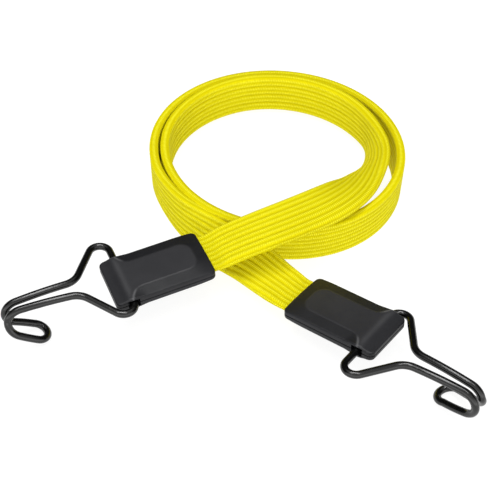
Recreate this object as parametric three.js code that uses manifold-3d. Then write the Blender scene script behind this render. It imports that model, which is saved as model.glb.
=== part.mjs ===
import * as THREE from "three";
import Module from "manifold-3d";
import { mergeVertices } from "three/addons/utils/BufferGeometryUtils.js";

// Flat elastic tie-down cord. A ribbed woven strap holds eight rubber strands. Each end of the strap
// wears a steel crimp inside a two-piece moulded cover, and a twin-wire hook swings in the cover's nose.
// The cord lies half coiled on the plane z = 0. Lengths in millimetres, angles in degrees, +Z up.

const wasm = await Module();
wasm.setup();
const { Manifold, Mesh } = wasm;

// Strap: width across, thickness over the crests of its ribs
const STRAP_WIDTH = 18;
const STRAP_THICKNESS = 3.6;
const RIB_COUNT = 4;
const CREST_HALF = 0.93;
const SIDE_CREST_HALF = 0.95;
const VALLEY_DEPTH = 0.55;
const STRANDS_PER_RIB = 2;
const WEAVE_WALL = 0.9;
const STRAND_CLEARANCE = 0.2;
const STRAND_PARTING = 0.45;
const FOOT_CUT = 0.5;

// Strap thickness where the crimp, the cover's teeth and the cover's mouth squeeze it
const CRIMPED_THICKNESS = 1.2;
const BITTEN_THICKNESS = 1.5;
const MOUTH_THICKNESS = 2.0;
const SWELL_LENGTH = 9;
const STRAIGHT_LENGTH = 4;

// Cover: two like shells that meet at mid height, x = 0 on the hook's axis
const COVER_LENGTH = 37.9;
const COVER_WIDTH = 22.8;
const AXIS_TO_NOSE = 6.3;
const CORNER_RADIUS = 2;
const EDGE_ROUND = 0.4;
const SIDE_STEP = 0.15;
const FLANK_HALF_HEIGHT = 2;
const PAD_HALF_HEIGHT = 2.9;
const PAD_HALF_WIDTH = 6.6;
const PAD_START = 4.4;
const PAD_CORNER = 4.5;
const PAD_SLOPE = 0.9;
const FLARE_LENGTH = 8.5;
const NOSE_LENGTH = 7.6;
const NOSE_HALF_HEIGHT = 1.9;
const NOSE_HOLLOW = 0.35;
const SHELL_WALL = 1;
const PART_GAP = 0.25;
const TOOTH_COUNT = 3;
const TOOTH_PITCH = 3.2;
const TOOTH_WIDTH = 1.2;
const PEG_RADIUS = 1.1;
const PEG_HEIGHT = 1.1;
const PEG_X = 4.1;
const PEG_Y = 6.5;
const CUT_OVERRUN = 2;
const PLAN_CURVE_STEPS = 5;
const NOSE_CURVE_STEPS = 6;
const EDGE_ROUND_STEPS = 2;
const SIDE_ROUND_STEPS = 1;

// Crimp: sheet steel folded round the strap's end
const CRIMP_SHEET = 0.4;
const CRIMP_LEG = 6.5;
const CRIMP_CLEARANCE = 0.2;
const CRIMP_FOLD_STEPS = 3;

// Hook: one coated wire, bent to the same form on both sides of the cover
const WIRE_DIAMETER = 2.8;
const WIRE_CLEARANCE = 0.3;
const WIRE_SIDES = 10;
const POST_SIDES = 16;
const TUNNEL_SIDES = 20;
const WIRE_END_GAP = 1.2;
const NOTCH_LENGTH = 4.4;
const NOTCH_HALF_HEIGHT = 1.8;
const CROSSBAR_OVERHANG = 2.6;
const SHOULDER_RADIUS = 4;
const LEG_ANGLE = 54.2;
const LEG_LENGTH = 12.5;
const NECK_RADIUS = 7.5;
const SHANK_ANGLE = 2.9;
const SHANK_LENGTH = 18.2;
const SHANK_RADIUS = 158;
const CURL_RADIUS = 5.4;
const LOOP_HALF = 4.2;
const SPREAD_START_SHARE = 0.45;
const SHOULDER_STEPS = 7;
const NECK_STEPS = 4;
const SHANK_STEPS = 3;
const CURL_STEPS = 10;
const LOOP_STEPS = 4;
const SWING_HALVINGS = 40;

// Where each hook's axis lies, how its cover is turned, and how its own curl was bent
const LEFT_END = {
  x: -43.1,
  y: -30.3,
  z: 14.3,
  yaw: 203.4,
  nose: -1,
  roll: 4.4,
  slide: -3.1,
  curlTurn: 157.5,
  returnLength: 6.9,
  loopSkew: 2.6,
};
const RIGHT_END = {
  x: 45.8,
  y: -51.2,
  z: 12.5,
  yaw: -37.3,
  nose: 7.8,
  roll: -8,
  slide: -3.7,
  curlTurn: 164.5,
  returnLength: 9.4,
  loopSkew: 5.1,
};

// Coil: an oval, two layers deep
const COIL_CENTRE = { x: 13.4, y: 36.7 };
const COIL_HALF_LENGTH = 49.8;
const COIL_HALF_WIDTH = 44.4;
const COIL_TURN = -10;
const LAYER_GAP = 0.8;
const INNER_DRAW = 3.2;
const DRAW_LAST = 110;
const INNER_LIFT = 3;
const COIL_FIRST = 20;
const COIL_LAST = 560;
const COIL_STEP = 22.5;
const STEP_OUT_FIRST = 190;
const STEP_OUT_LAST = 320;
const LIFT_LAST = 240;
const LEAN_TENSION = 0.5;
const GAP_SAMPLES = 3;
const GAP_PLACES_APART = 4;

// Free strands, chosen by hand: x, y, height of the strap's middle, lean
const UPPER_STRAND = [
  [-5, -14.3, 17, -2],
  [6, -11, 20, -1],
  [18.5, -5.5, 21, 0],
  [31, 1.5, 20.9, -1],
  [41.2, 11.4, 18.3, -9],
  [48.3, 24, 14.2, -32],
  [53.2, 34.8, 12, -58],
];
const LOWER_STRAND = [
  [-24.6, 8.4, 8.6, -96],
  [-16.2, 0, 8.5, -106],
  [-7.6, -7.7, 7.7, -124],
  [1.4, -13.6, 7.4, -146],
  [9.8, -22, 7, -176],
];

const RIB_PITCH = STRAP_WIDTH / RIB_COUNT;
const LAYER_PITCH = STRAP_THICKNESS + LAYER_GAP;
const CROSSBAR_HALF = COVER_WIDTH / 2 + CROSSBAR_OVERHANG;
const PAD_X = AXIS_TO_NOSE - COVER_LENGTH + PAD_START;
const MOUTH_X = AXIS_TO_NOSE - COVER_LENGTH;
const TUNNEL_RADIUS = WIRE_DIAMETER / 2 + WIRE_CLEARANCE;
const POCKET_X = -TUNNEL_RADIUS - SHELL_WALL;
const CRIMP_X = POCKET_X - PART_GAP;
const STRAP_END_X = CRIMP_X - CRIMP_SHEET - CRIMP_CLEARANCE;
const CRIMP_MOUTH_X = CRIMP_X - CRIMP_LEG;
const SHOULDER_X = CRIMP_MOUTH_X - PART_GAP;
const radians = THREE.MathUtils.degToRad;

const finishes = {
  strap: { color: 0xe8e010, roughness: 0.75, metalness: 0 },
  rubber: { color: 0xcdb98a, roughness: 0.8, metalness: 0 },
  cover: { color: 0x26272a, roughness: 0.45, metalness: 0 },
  wire: { color: 0x18191b, roughness: 0.35, metalness: 0.2 },
  steel: { color: 0xb4b7bb, roughness: 0.4, metalness: 0.9 },
};

function namedMesh(name, geometry, finish) {
  const mesh = new THREE.Mesh(geometry, new THREE.MeshStandardMaterial(finishes[finish]));
  mesh.name = name;
  return mesh;
}

// Solids for joining and cutting
function solidOf(geometry) {
  const bare = geometry.index ? geometry.toNonIndexed() : geometry.clone();
  bare.deleteAttribute("normal");
  bare.deleteAttribute("uv");
  const merged = mergeVertices(bare);
  const vertProperties = new Float32Array(merged.attributes.position.array);
  const triVerts = new Uint32Array(merged.index.array);
  return new Manifold(new Mesh({ numProp: 3, vertProperties, triVerts }));
}

function geometryOf(solid) {
  const mesh = solid.getMesh();
  const geometry = new THREE.BufferGeometry();
  geometry.setAttribute("position", new THREE.BufferAttribute(mesh.vertProperties, mesh.numProp));
  geometry.setIndex(new THREE.BufferAttribute(mesh.triVerts, 1));
  geometry.computeVertexNormals();
  return geometry;
}

function block(xLow, xHigh, yLow, yHigh, zLow, zHigh) {
  const geometry = new THREE.BoxGeometry(xHigh - xLow, yHigh - yLow, zHigh - zLow);
  geometry.translate((xLow + xHigh) / 2, (yLow + yHigh) / 2, (zLow + zHigh) / 2);
  return solidOf(geometry);
}

function post(x, y, radius, zLow, zHigh) {
  const geometry = new THREE.CylinderGeometry(radius, radius, zHigh - zLow, POST_SIDES);
  geometry.rotateX(Math.PI / 2);
  geometry.translate(x, y, (zLow + zHigh) / 2);
  return solidOf(geometry);
}

// A plan outline raised from zLow to zHigh, its top edge drawn in by the slope
function raised(outline, zLow, zHigh, slope, rounds) {
  const geometry = new THREE.ExtrudeGeometry(outline, {
    depth: zHigh - zLow - slope + CUT_OVERRUN,
    bevelEnabled: true,
    bevelThickness: slope,
    bevelSize: slope,
    bevelOffset: -slope,
    bevelSegments: rounds,
    curveSegments: PLAN_CURVE_STEPS,
  });
  geometry.translate(0, 0, zLow - CUT_OVERRUN);
  const cover = block(-COVER_LENGTH, COVER_LENGTH, -COVER_WIDTH, COVER_WIDTH, zLow, zHigh + slope);
  return solidOf(geometry).intersect(cover);
}

// Closed loft through rings of points; the section's own triangles close the first and last ring
function loft(rings, section) {
  const count = section.length;
  const position = rings.flat().flatMap((point) => [point.x, point.y, point.z]);
  const index = [];
  for (let ring = 0; ring + 1 < rings.length; ring++) {
    for (let k = 0; k < count; k++) {
      const a = ring * count + k;
      const b = ring * count + ((k + 1) % count);
      index.push(a, b, b + count, a, b + count, a + count);
    }
  }
  const last = (rings.length - 1) * count;
  for (const [a, b, c] of THREE.ShapeUtils.triangulateShape(section, [])) {
    index.push(a, c, b, last + a, last + b, last + c);
  }
  const geometry = new THREE.BufferGeometry();
  geometry.setAttribute("position", new THREE.Float32BufferAttribute(position, 3));
  geometry.setIndex(index);
  geometry.computeVertexNormals();
  return geometry;
}

// Cover
function roundedPlan(inset) {
  const half = COVER_WIDTH / 2 - inset;
  const low = MOUTH_X + inset;
  const high = AXIS_TO_NOSE - inset;
  const plan = new THREE.Shape();
  plan.moveTo(low + CORNER_RADIUS, -half);
  plan.lineTo(high - CORNER_RADIUS, -half);
  plan.absarc(high - CORNER_RADIUS, CORNER_RADIUS - half, CORNER_RADIUS, -Math.PI / 2, 0);
  plan.lineTo(high, half - CORNER_RADIUS);
  plan.absarc(high - CORNER_RADIUS, half - CORNER_RADIUS, CORNER_RADIUS, 0, Math.PI / 2);
  plan.lineTo(low + CORNER_RADIUS, half);
  plan.absarc(low + CORNER_RADIUS, half - CORNER_RADIUS, CORNER_RADIUS, Math.PI / 2, Math.PI);
  plan.lineTo(low, CORNER_RADIUS - half);
  plan.absarc(low + CORNER_RADIUS, CORNER_RADIUS - half, CORNER_RADIUS, Math.PI, Math.PI * 1.5);
  return plan;
}

// The raised pad flares from its own width to past the cover's sides at the nose
function padPlan() {
  const side = COVER_WIDTH / 2 + PAD_SLOPE;
  const ridge = AXIS_TO_NOSE - NOSE_LENGTH;
  const flare = ridge - FLARE_LENGTH;
  const end = AXIS_TO_NOSE + CUT_OVERRUN;
  const plan = new THREE.Shape();
  plan.moveTo(PAD_X + PAD_CORNER, -PAD_HALF_WIDTH);
  plan.lineTo(flare, -PAD_HALF_WIDTH);
  plan.quadraticCurveTo(ridge - FLARE_LENGTH / 4, -PAD_HALF_WIDTH, ridge, -side);
  plan.lineTo(end, -side);
  plan.lineTo(end, side);
  plan.lineTo(ridge, side);
  plan.quadraticCurveTo(ridge - FLARE_LENGTH / 4, PAD_HALF_WIDTH, flare, PAD_HALF_WIDTH);
  plan.lineTo(PAD_X + PAD_CORNER, PAD_HALF_WIDTH);
  plan.absarc(PAD_X + PAD_CORNER, PAD_HALF_WIDTH - PAD_CORNER, PAD_CORNER, Math.PI / 2, Math.PI);
  plan.lineTo(PAD_X, PAD_CORNER - PAD_HALF_WIDTH);
  plan.absarc(PAD_X + PAD_CORNER, PAD_CORNER - PAD_HALF_WIDTH, PAD_CORNER, Math.PI, Math.PI * 1.5);
  return plan;
}

// What is cut off above the nose, a hollow slope from the ridge down to the nose's end
function aboveNose() {
  const ridge = AXIS_TO_NOSE - NOSE_LENGTH;
  const middle = (PAD_HALF_HEIGHT + NOSE_HALF_HEIGHT) / 2 - 2 * NOSE_HOLLOW;
  const top = PAD_HALF_HEIGHT + CUT_OVERRUN;
  const side = new THREE.Shape();
  side.moveTo(ridge - CUT_OVERRUN, top);
  side.lineTo(ridge, PAD_HALF_HEIGHT + NOSE_HOLLOW);
  side.quadraticCurveTo(AXIS_TO_NOSE - NOSE_LENGTH / 2, middle, AXIS_TO_NOSE, NOSE_HALF_HEIGHT);
  side.lineTo(AXIS_TO_NOSE + CUT_OVERRUN, NOSE_HALF_HEIGHT);
  side.lineTo(AXIS_TO_NOSE + CUT_OVERRUN, top);
  const reach = COVER_WIDTH + 2 * CUT_OVERRUN;
  const options = { depth: reach, bevelEnabled: false, curveSegments: NOSE_CURVE_STEPS };
  const geometry = new THREE.ExtrudeGeometry(side, options);
  geometry.rotateX(Math.PI / 2);
  geometry.translate(0, reach / 2, 0);
  return solidOf(geometry);
}

function shellBody() {
  const low = PART_GAP / 2;
  const root = FLANK_HALF_HEIGHT / 2;
  const flank = raised(roundedPlan(0), low, FLANK_HALF_HEIGHT, EDGE_ROUND, EDGE_ROUND_STEPS);
  const pad = raised(padPlan(), root, PAD_HALF_HEIGHT, PAD_SLOPE, EDGE_ROUND_STEPS);
  const reach = PAD_HALF_HEIGHT + CUT_OVERRUN;
  const sides = raised(roundedPlan(SIDE_STEP), root / 2, reach, EDGE_ROUND, SIDE_ROUND_STEPS);
  return flank.add(pad.intersect(sides)).subtract(aboveNose());
}

// The strap's way in, the teeth that bite it, the crimp's pocket and the wire's tunnel and notches
function shellHollow() {
  const halfWidth = STRAP_WIDTH / 2 + PART_GAP;
  const wayHeight = MOUTH_THICKNESS / 2 + PART_GAP;
  const toothHeight = BITTEN_THICKNESS / 2 + PART_GAP;
  const pocketHeight = CRIMPED_THICKNESS / 2 + CRIMP_CLEARANCE + CRIMP_SHEET + PART_GAP;
  const under = -CUT_OVERRUN;
  let hollow = block(MOUTH_X - CUT_OVERRUN, SHOULDER_X, -halfWidth, halfWidth, under, wayHeight);
  for (let tooth = 0; tooth < TOOTH_COUNT; tooth++) {
    const high = SHOULDER_X - tooth * TOOTH_PITCH;
    const rib = block(high - TOOTH_WIDTH, high, -COVER_WIDTH, COVER_WIDTH, toothHeight, pocketHeight);
    hollow = hollow.subtract(rib);
  }
  hollow = hollow.add(block(SHOULDER_X, POCKET_X, -halfWidth, halfWidth, under, pocketHeight));
  const tunnel = new THREE.CylinderGeometry(
    TUNNEL_RADIUS,
    TUNNEL_RADIUS,
    2 * COVER_WIDTH,
    TUNNEL_SIDES
  );
  hollow = hollow.add(solidOf(tunnel));
  const notchDepth = COVER_WIDTH / 2 - CORNER_RADIUS;
  for (const side of [-1, 1]) {
    const near = side * notchDepth;
    const far = side * (COVER_WIDTH / 2 + CUT_OVERRUN);
    const notch = block(
      -NOTCH_LENGTH / 2,
      NOTCH_LENGTH / 2,
      Math.min(near, far),
      Math.max(near, far),
      under,
      NOTCH_HALF_HEIGHT
    );
    hollow = hollow.add(notch);
  }
  return hollow;
}

function upperShell() {
  let shell = shellBody().subtract(shellHollow());
  for (const side of [-1, 1]) {
    const top = PEG_HEIGHT + PART_GAP;
    shell = shell.subtract(post(PEG_X, side * PEG_Y, PEG_RADIUS + PART_GAP, -CUT_OVERRUN, top));
  }
  return geometryOf(shell);
}

function lowerShell() {
  let shell = shellBody().subtract(shellHollow());
  for (const side of [-1, 1]) {
    shell = shell.add(post(PEG_X, side * PEG_Y, PEG_RADIUS, -PEG_HEIGHT, PART_GAP));
  }
  const geometry = geometryOf(shell);
  geometry.rotateX(Math.PI);
  return geometry;
}

// Crimp
function crimpClip() {
  const inner = CRIMPED_THICKNESS / 2 + CRIMP_CLEARANCE;
  const outer = inner + CRIMP_SHEET;
  const fold = CRIMP_X - CRIMP_SHEET;
  const side = new THREE.Shape();
  side.moveTo(CRIMP_MOUTH_X, outer);
  side.lineTo(CRIMP_MOUTH_X, inner);
  side.lineTo(fold, inner);
  side.lineTo(fold, -inner);
  side.lineTo(CRIMP_MOUTH_X, -inner);
  side.lineTo(CRIMP_MOUTH_X, -outer);
  side.lineTo(CRIMP_X - CRIMP_SHEET, -outer);
  side.quadraticCurveTo(CRIMP_X, -outer, CRIMP_X, CRIMP_SHEET - outer);
  side.lineTo(CRIMP_X, outer - CRIMP_SHEET);
  side.quadraticCurveTo(CRIMP_X, outer, CRIMP_X - CRIMP_SHEET, outer);
  const options = { depth: STRAP_WIDTH, bevelEnabled: false, curveSegments: CRIMP_FOLD_STEPS };
  const geometry = new THREE.ExtrudeGeometry(side, options);
  geometry.rotateX(Math.PI / 2);
  geometry.translate(0, STRAP_WIDTH / 2, 0);
  return geometry;
}

// Hook: points of the wire's middle line on one side, from the crossbar's inner end to the loop's middle
function hookSide(end, side) {
  const points = [];
  const put = (x, y, z) => points.push(new THREE.Vector3(x, side * y, z));
  put(0, WIRE_END_GAP / 2, 0);
  const leg = radians(LEG_ANGLE);
  const shank = radians(SHANK_ANGLE);
  for (let step = 0; step <= SHOULDER_STEPS; step++) {
    const angle = Math.PI / 2 - ((Math.PI / 2 + leg) * step) / SHOULDER_STEPS;
    put(SHOULDER_RADIUS * (1 - Math.sin(angle)), CROSSBAR_HALF + SHOULDER_RADIUS * Math.cos(angle), 0);
  }
  let x = SHOULDER_RADIUS * (1 + Math.sin(leg)) + LEG_LENGTH * Math.cos(leg);
  let y = CROSSBAR_HALF + SHOULDER_RADIUS * Math.cos(leg) - LEG_LENGTH * Math.sin(leg);
  const neckX = x + NECK_RADIUS * Math.sin(leg);
  const neckY = y + NECK_RADIUS * Math.cos(leg);
  for (let step = 0; step <= NECK_STEPS; step++) {
    const angle = leg + ((shank - leg) * step) / NECK_STEPS;
    put(neckX - NECK_RADIUS * Math.sin(angle), neckY - NECK_RADIUS * Math.cos(angle), 0);
  }
  x = neckX - NECK_RADIUS * Math.sin(shank);
  y = neckY - NECK_RADIUS * Math.cos(shank);
  let z = 0;
  let pitch = 0;
  const walk = (length) => {
    x += length * Math.cos(pitch);
    z -= length * Math.sin(pitch);
  };
  for (let step = 0; step < SHANK_STEPS; step++) {
    pitch += SHANK_LENGTH / SHANK_STEPS / SHANK_RADIUS;
    walk(SHANK_LENGTH / SHANK_STEPS);
    y -= (SHANK_LENGTH / SHANK_STEPS) * Math.sin(shank);
    put(x, y, z);
  }
  const turn = radians(end.curlTurn) - pitch;
  const curlLength = CURL_RADIUS * turn;
  const spreadStart = SPREAD_START_SHARE * curlLength;
  const spreadLength = curlLength - spreadStart + end.returnLength;
  const narrow = y;
  const spread = (run) => {
    const share = THREE.MathUtils.clamp((run - spreadStart) / spreadLength, 0, 1);
    return narrow + (LOOP_HALF - narrow) * Math.sin((share * Math.PI) / 2) + side * end.loopSkew * share;
  };
  for (let step = 1; step <= CURL_STEPS; step++) {
    const half = turn / CURL_STEPS / 2;
    pitch += half;
    walk(2 * CURL_RADIUS * Math.sin(half));
    pitch += half;
    put(x, spread((curlLength * step) / CURL_STEPS), z);
  }
  walk(end.returnLength / 2);
  put(x, spread(curlLength + end.returnLength / 2), z);
  walk(end.returnLength / 2);
  put(x, spread(curlLength + end.returnLength), z);
  for (let step = 1; step <= LOOP_STEPS; step++) {
    const angle = (Math.PI / 2) * (step / LOOP_STEPS);
    const reach = LOOP_HALF * Math.sin(angle);
    const across = LOOP_HALF * Math.cos(angle) + side * end.loopSkew;
    put(x + reach * Math.cos(pitch), across, z - reach * Math.sin(pitch));
  }
  return points;
}

// Both sides joined into one line, from one free end in the cover to the other
function hookLine(end) {
  const first = hookSide(end, 1);
  const second = hookSide(end, -1).reverse();
  return [...first, ...second.slice(1)];
}

// Round wire along a line of points, its rings kept from twisting
function wireAlong(points) {
  const circle = [];
  for (let k = 0; k < WIRE_SIDES; k++) {
    const angle = ((k + 0.5) / WIRE_SIDES) * 2 * Math.PI;
    circle.push(new THREE.Vector2(Math.cos(angle), Math.sin(angle)).multiplyScalar(WIRE_DIAMETER / 2));
  }
  let across = new THREE.Vector3(1, 0, 0);
  const rings = points.map((point, k) => {
    const before = points[Math.max(k - 1, 0)];
    const after = points[Math.min(k + 1, points.length - 1)];
    const into = point.clone().sub(before).normalize();
    const out = after.clone().sub(point).normalize();
    const along = into.add(out).normalize();
    across = across.clone().addScaledVector(along, -across.dot(along)).normalize();
    const up = along.clone().cross(across);
    return circle.map((spot) => point.clone().addScaledVector(across, spot.x).addScaledVector(up, spot.y));
  });
  return loft(rings, circle);
}

// How a cover sits: its nose raised, rolled about its length, turned about the upright
function endTurn(end) {
  const euler = new THREE.Euler(radians(end.roll), radians(-end.nose), radians(end.yaw), "ZYX");
  return new THREE.Quaternion().setFromEuler(euler);
}

// The angle that a hook swings through until its lowest point rests on z = 0
function swingToFloor(end, line) {
  const turn = endTurn(end);
  const lowest = (angle) => {
    const swing = new THREE.Quaternion().setFromAxisAngle(new THREE.Vector3(0, 1, 0), -angle);
    const heights = line.map((point) => {
      const placed = point.clone().setY(point.y + end.slide).applyQuaternion(swing).applyQuaternion(turn);
      return placed.z;
    });
    return Math.min(...heights) + end.z - WIRE_DIAMETER / 2;
  };
  let low = -Math.PI / 4;
  let high = Math.PI / 4;
  for (let halving = 0; halving < SWING_HALVINGS; halving++) {
    const middle = (low + high) / 2;
    if (lowest(middle) < 0) {
      low = middle;
    } else {
      high = middle;
    }
  }
  return high;
}

function coverEnd(side, end) {
  const group = new THREE.Group();
  group.position.set(end.x, end.y, end.z);
  group.quaternion.copy(endTurn(end));
  group.add(namedMesh(`${side}_cover_upper`, upperShell(), "cover"));
  group.add(namedMesh(`${side}_cover_lower`, lowerShell(), "cover"));
  group.add(namedMesh(`${side}_strap_crimp`, crimpClip(), "steel"));
  const line = hookLine(end);
  const hook = namedMesh(`${side}_hook_wire`, wireAlong(line), "wire");
  hook.rotation.y = -swingToFloor(end, line);
  hook.position.y = end.slide;
  group.add(hook);
  return group;
}

// Strap section, seen along the strap: across is x, thickness is y
function strapOutline() {
  const half = [new THREE.Vector2(-STRAP_WIDTH / 2, SIDE_CREST_HALF)];
  for (let rib = 0; rib < RIB_COUNT; rib++) {
    const middle = (rib + 0.5) * RIB_PITCH - STRAP_WIDTH / 2;
    if (rib > 0) {
      half.push(new THREE.Vector2(middle - RIB_PITCH / 2, STRAP_THICKNESS / 2 - VALLEY_DEPTH));
    }
    half.push(new THREE.Vector2(middle - CREST_HALF, STRAP_THICKNESS / 2));
    half.push(new THREE.Vector2(middle + CREST_HALF, STRAP_THICKNESS / 2));
  }
  half.push(new THREE.Vector2(STRAP_WIDTH / 2, SIDE_CREST_HALF));
  const turned = half.map((point) => point.clone().negate());
  return [...half, ...turned].reverse();
}

function rectangle(middle, halfWidth, halfHeight) {
  return [
    new THREE.Vector2(middle - halfWidth, -halfHeight),
    new THREE.Vector2(middle + halfWidth, -halfHeight),
    new THREE.Vector2(middle + halfWidth, halfHeight),
    new THREE.Vector2(middle - halfWidth, halfHeight),
  ];
}

const CHANNEL_HALF_WIDTH = (RIB_PITCH - WEAVE_WALL) / 2 - STRAND_CLEARANCE;
const CHANNEL_HALF_HEIGHT = STRAP_THICKNESS / 2 - WEAVE_WALL;

function strapChannels() {
  const channels = [];
  for (let rib = 0; rib < RIB_COUNT; rib++) {
    const middle = (rib + 0.5) * RIB_PITCH - STRAP_WIDTH / 2;
    channels.push(rectangle(middle, CHANNEL_HALF_WIDTH, CHANNEL_HALF_HEIGHT));
  }
  return channels;
}

function strandSection(number) {
  const rib = Math.floor(number / STRANDS_PER_RIB);
  const place = number % STRANDS_PER_RIB;
  const middle = (rib + 0.5) * RIB_PITCH - STRAP_WIDTH / 2;
  const partings = (STRANDS_PER_RIB - 1) * STRAND_PARTING;
  const width = (2 * CHANNEL_HALF_WIDTH - 2 * STRAND_CLEARANCE - partings) / STRANDS_PER_RIB;
  const start = middle - CHANNEL_HALF_WIDTH + STRAND_CLEARANCE + place * (width + STRAND_PARTING);
  return rectangle(start + width / 2, width / 2, CHANNEL_HALF_HEIGHT - STRAND_CLEARANCE);
}

// Route: places on the strap's middle line with their lean, and how thick the strap is there
function coverPlaces(end, lean) {
  const turn = endTurn(end);
  const reaches = [
    [STRAP_END_X, CRIMPED_THICKNESS],
    [CRIMP_MOUTH_X, CRIMPED_THICKNESS],
    [SHOULDER_X - TOOTH_WIDTH / 2, BITTEN_THICKNESS],
    [SHOULDER_X - TOOTH_COUNT * TOOTH_PITCH, BITTEN_THICKNESS],
    [MOUTH_X + PART_GAP, MOUTH_THICKNESS],
    [MOUTH_X - STRAIGHT_LENGTH, null],
  ];
  return reaches.map(([x, thickness]) => {
    const spot = new THREE.Vector3(x, 0, 0).applyQuaternion(turn);
    return { x: spot.x + end.x, y: spot.y + end.y, z: spot.z + end.z, lean, thickness };
  });
}

function coilPlaces() {
  const places = [];
  for (let angle = COIL_FIRST; angle <= COIL_LAST; angle += COIL_STEP) {
    const stepOut = THREE.MathUtils.smoothstep(angle, STEP_OUT_FIRST, STEP_OUT_LAST);
    const draw = INNER_DRAW * (1 - THREE.MathUtils.smoothstep(angle, 0, DRAW_LAST));
    const inset = LAYER_PITCH * (1 - stepOut) + draw;
    const settle = THREE.MathUtils.smoothstep(angle, 0, LIFT_LAST);
    const around = radians(angle - COIL_TURN);
    const spot = new THREE.Vector2(
      (COIL_HALF_LENGTH - inset) * Math.cos(around),
      (COIL_HALF_WIDTH - inset) * Math.sin(around)
    );
    spot.rotateAround(new THREE.Vector2(), radians(COIL_TURN));
    places.push({
      x: COIL_CENTRE.x + spot.x,
      y: COIL_CENTRE.y + spot.y,
      z: STRAP_WIDTH / 2 - FOOT_CUT + INNER_LIFT * (1 - settle),
      lean: -90,
    });
  }
  return places;
}

const freePlaces = (rows) => rows.map(([x, y, z, lean]) => ({ x, y, z, lean, halve: true }));

const places = [
  ...coverPlaces(LEFT_END, LEFT_END.roll * -1),
  ...freePlaces(UPPER_STRAND),
  ...coilPlaces(),
  ...freePlaces(LOWER_STRAND),
  ...coverPlaces(RIGHT_END, RIGHT_END.roll - 180).reverse(),
];
const middleLine = new THREE.CatmullRomCurve3(
  places.map((place) => new THREE.Vector3(place.x, place.y, place.z)),
  false,
  "centripetal"
);
const leanLine = new THREE.CatmullRomCurve3(
  places.map((place) => new THREE.Vector3(place.lean, 0, 0)),
  false,
  "catmullrom",
  LEAN_TENSION
);

// Frame at a share of the places: the middle point, the way across and the way through the strap
function frameAt(order) {
  const share = order / (places.length - 1);
  const point = middleLine.getPoint(share);
  const along = middleLine.getTangent(share);
  const left = new THREE.Vector3(0, 0, 1).cross(along).normalize();
  const up = along.clone().cross(left);
  const lean = radians(leanLine.getPoint(share).x);
  const across = left.multiplyScalar(Math.cos(lean)).addScaledVector(up, Math.sin(lean));
  const through = along.clone().cross(across);
  return { point, across, through };
}

// The strap swells from the mouth's thickness to its own over the swell length
function stationList() {
  const stations = [];
  places.forEach((place, order) => {
    stations.push({ order, thickness: place.thickness });
    if (place.halve && !places[order + 1].thickness) {
      stations.push({ order: order + 0.5 });
    }
  });
  const mouths = places.filter((place) => place.thickness === MOUTH_THICKNESS);
  for (const station of stations) {
    Object.assign(station, frameAt(station.order));
    if (!station.thickness) {
      const gaps = mouths.map((mouth) => station.point.distanceTo(mouth));
      const share = Math.min(Math.min(...gaps) / SWELL_LENGTH, 1);
      station.thickness = THREE.MathUtils.lerp(MOUTH_THICKNESS, STRAP_THICKNESS, share);
    }
  }
  return stations;
}

const stations = stationList();

function sectionAt(station, section) {
  const squeeze = station.thickness / STRAP_THICKNESS;
  return section.map((spot) => {
    const point = station.point.clone();
    return point.addScaledVector(station.across, spot.x).addScaledVector(station.through, spot.y * squeeze);
  });
}

// The outside of the strap, cut flat where it stands on the floor
function jacketRing(station) {
  return sectionAt(station, strapOutline()).map((point) => point.setZ(Math.max(point.z, 0)));
}

function strandAlong(section) {
  return loft(stations.map((station) => sectionAt(station, section)), section);
}

// A bore runs on past both ends of the strap
function boreSolid(outline) {
  const rings = stations.map((station) => sectionAt(station, outline));
  const last = rings.length - 1;
  for (const [ring, next] of [[0, 1], [last, last - 1]]) {
    const out = stations[ring].point.clone().sub(stations[next].point).setLength(CUT_OVERRUN);
    rings[ring] = rings[ring].map((point) => point.clone().add(out));
  }
  return solidOf(loft(rings, outline));
}

function wovenJacket() {
  let jacket = solidOf(loft(stations.map(jacketRing), strapOutline()));
  for (const channel of strapChannels()) {
    jacket = jacket.subtract(boreSolid(channel));
  }
  return geometryOf(jacket);
}

// Least gap between parts of the strap that lie more than a few widths apart along it
function leastGap() {
  const samples = [];
  const inner = places.findIndex((place) => place.halve);
  const outer = places.length - 1 - inner;
  for (let order = inner; order <= outer; order += 1 / GAP_SAMPLES) {
    const station = { ...frameAt(order), thickness: STRAP_THICKNESS };
    samples.push(jacketRing(station));
  }
  const apart = GAP_SAMPLES * GAP_PLACES_APART;
  let least = Infinity;
  for (let a = 0; a < samples.length; a++) {
    for (let b = a + apart; b < samples.length; b++) {
      for (const p of samples[a]) {
        for (const q of samples[b]) {
          least = Math.min(least, p.distanceTo(q));
        }
      }
    }
  }
  return least;
}

const ends = new THREE.Group();
ends.add(coverEnd("left", LEFT_END), coverEnd("right", RIGHT_END));

const cord = new THREE.Group();
cord.add(ends);
cord.add(namedMesh("strap_jacket", wovenJacket(), "strap"));
for (let number = 0; number < RIB_COUNT * STRANDS_PER_RIB; number++) {
  const strand = strandAlong(strandSection(number));
  cord.add(namedMesh(`rubber_strand_${number + 1}`, strand, "rubber"));
}

// The origin lies on the floor under the middle of the two ends
const box = new THREE.Box3().setFromObject(ends, true);
const middle = box.getCenter(new THREE.Vector3());
cord.position.set(-middle.x, -middle.y, 0);
console.log(`strap length ${middleLine.getLength().toFixed(1)} mm, least gap ${leastGap().toFixed(2)} mm`);
console.log(`origin shift ${middle.x.toFixed(2)}, ${middle.y.toFixed(2)}, lowest ${box.min.z.toFixed(3)}`);

export default cord;
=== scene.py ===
import math

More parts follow.
